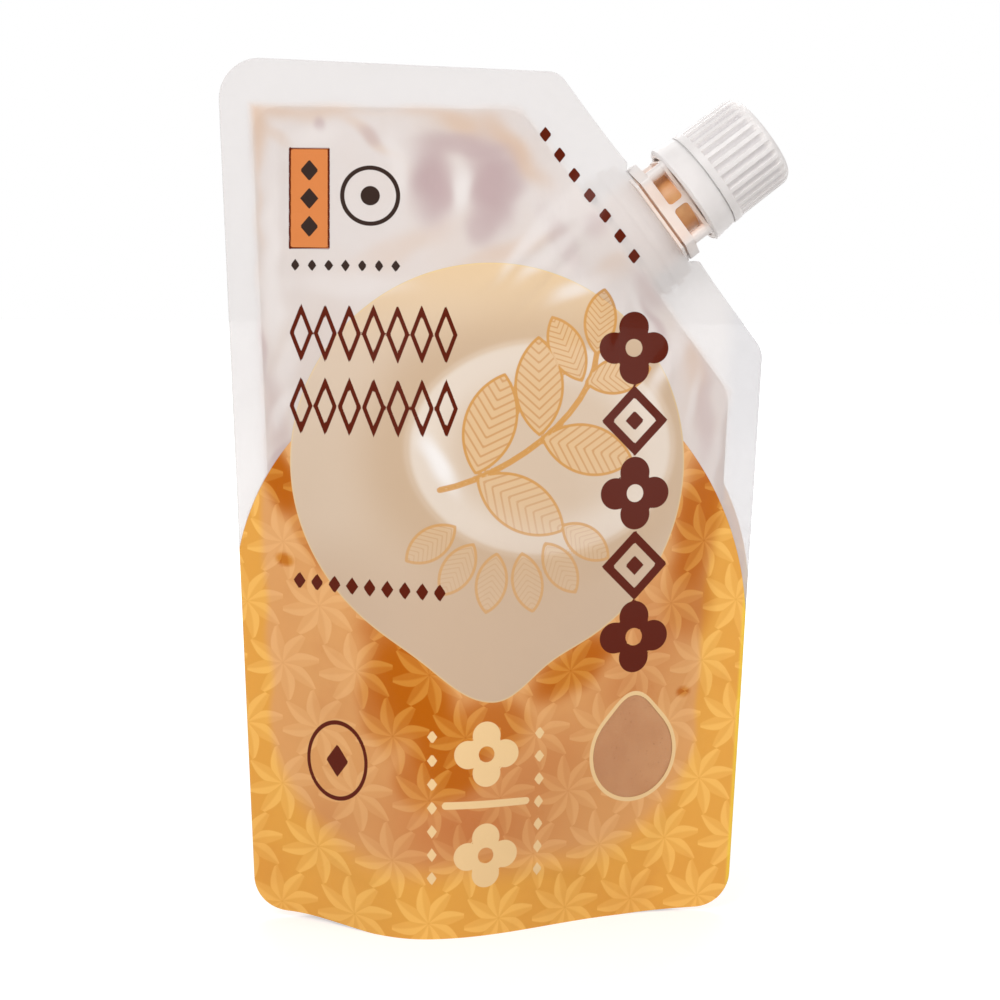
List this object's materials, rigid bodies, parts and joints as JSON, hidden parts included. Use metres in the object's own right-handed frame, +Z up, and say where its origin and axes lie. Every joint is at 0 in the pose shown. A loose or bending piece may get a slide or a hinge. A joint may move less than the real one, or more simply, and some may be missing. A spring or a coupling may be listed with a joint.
{
  "type": "spouted stand-up pouch of nut butter",
  "caption": "Flat film pouch that stands on an oval gusseted foot, with a sloping shoulder that carries a flanged spout under a ribbed screw cap.",
  "frame": {"origin": "under the middle of the object's box, on the surface that the pouch stands on", "axes": "+Z up; the front panel faces -Y; the seal plane is XZ; the spout leans up towards +X"},
  "size_m": [0.1073, 0.0378, 0.1628],
  "materials": {
    "printed_film": "glossy laminated film, orange print below, milky clear above",
    "spout_plastic": "milky natural polyethylene",
    "cap_plastic": "white moulded polyethylene, satin",
    "paste": "smooth oily nut butter seen through the film"
  },
  "bodies": {
    "root": {"pouch": "printed_film", "spout": "spout_plastic", "tamper_band": "cap_plastic", "cap": "cap_plastic"}
  },
  "joints": []
}
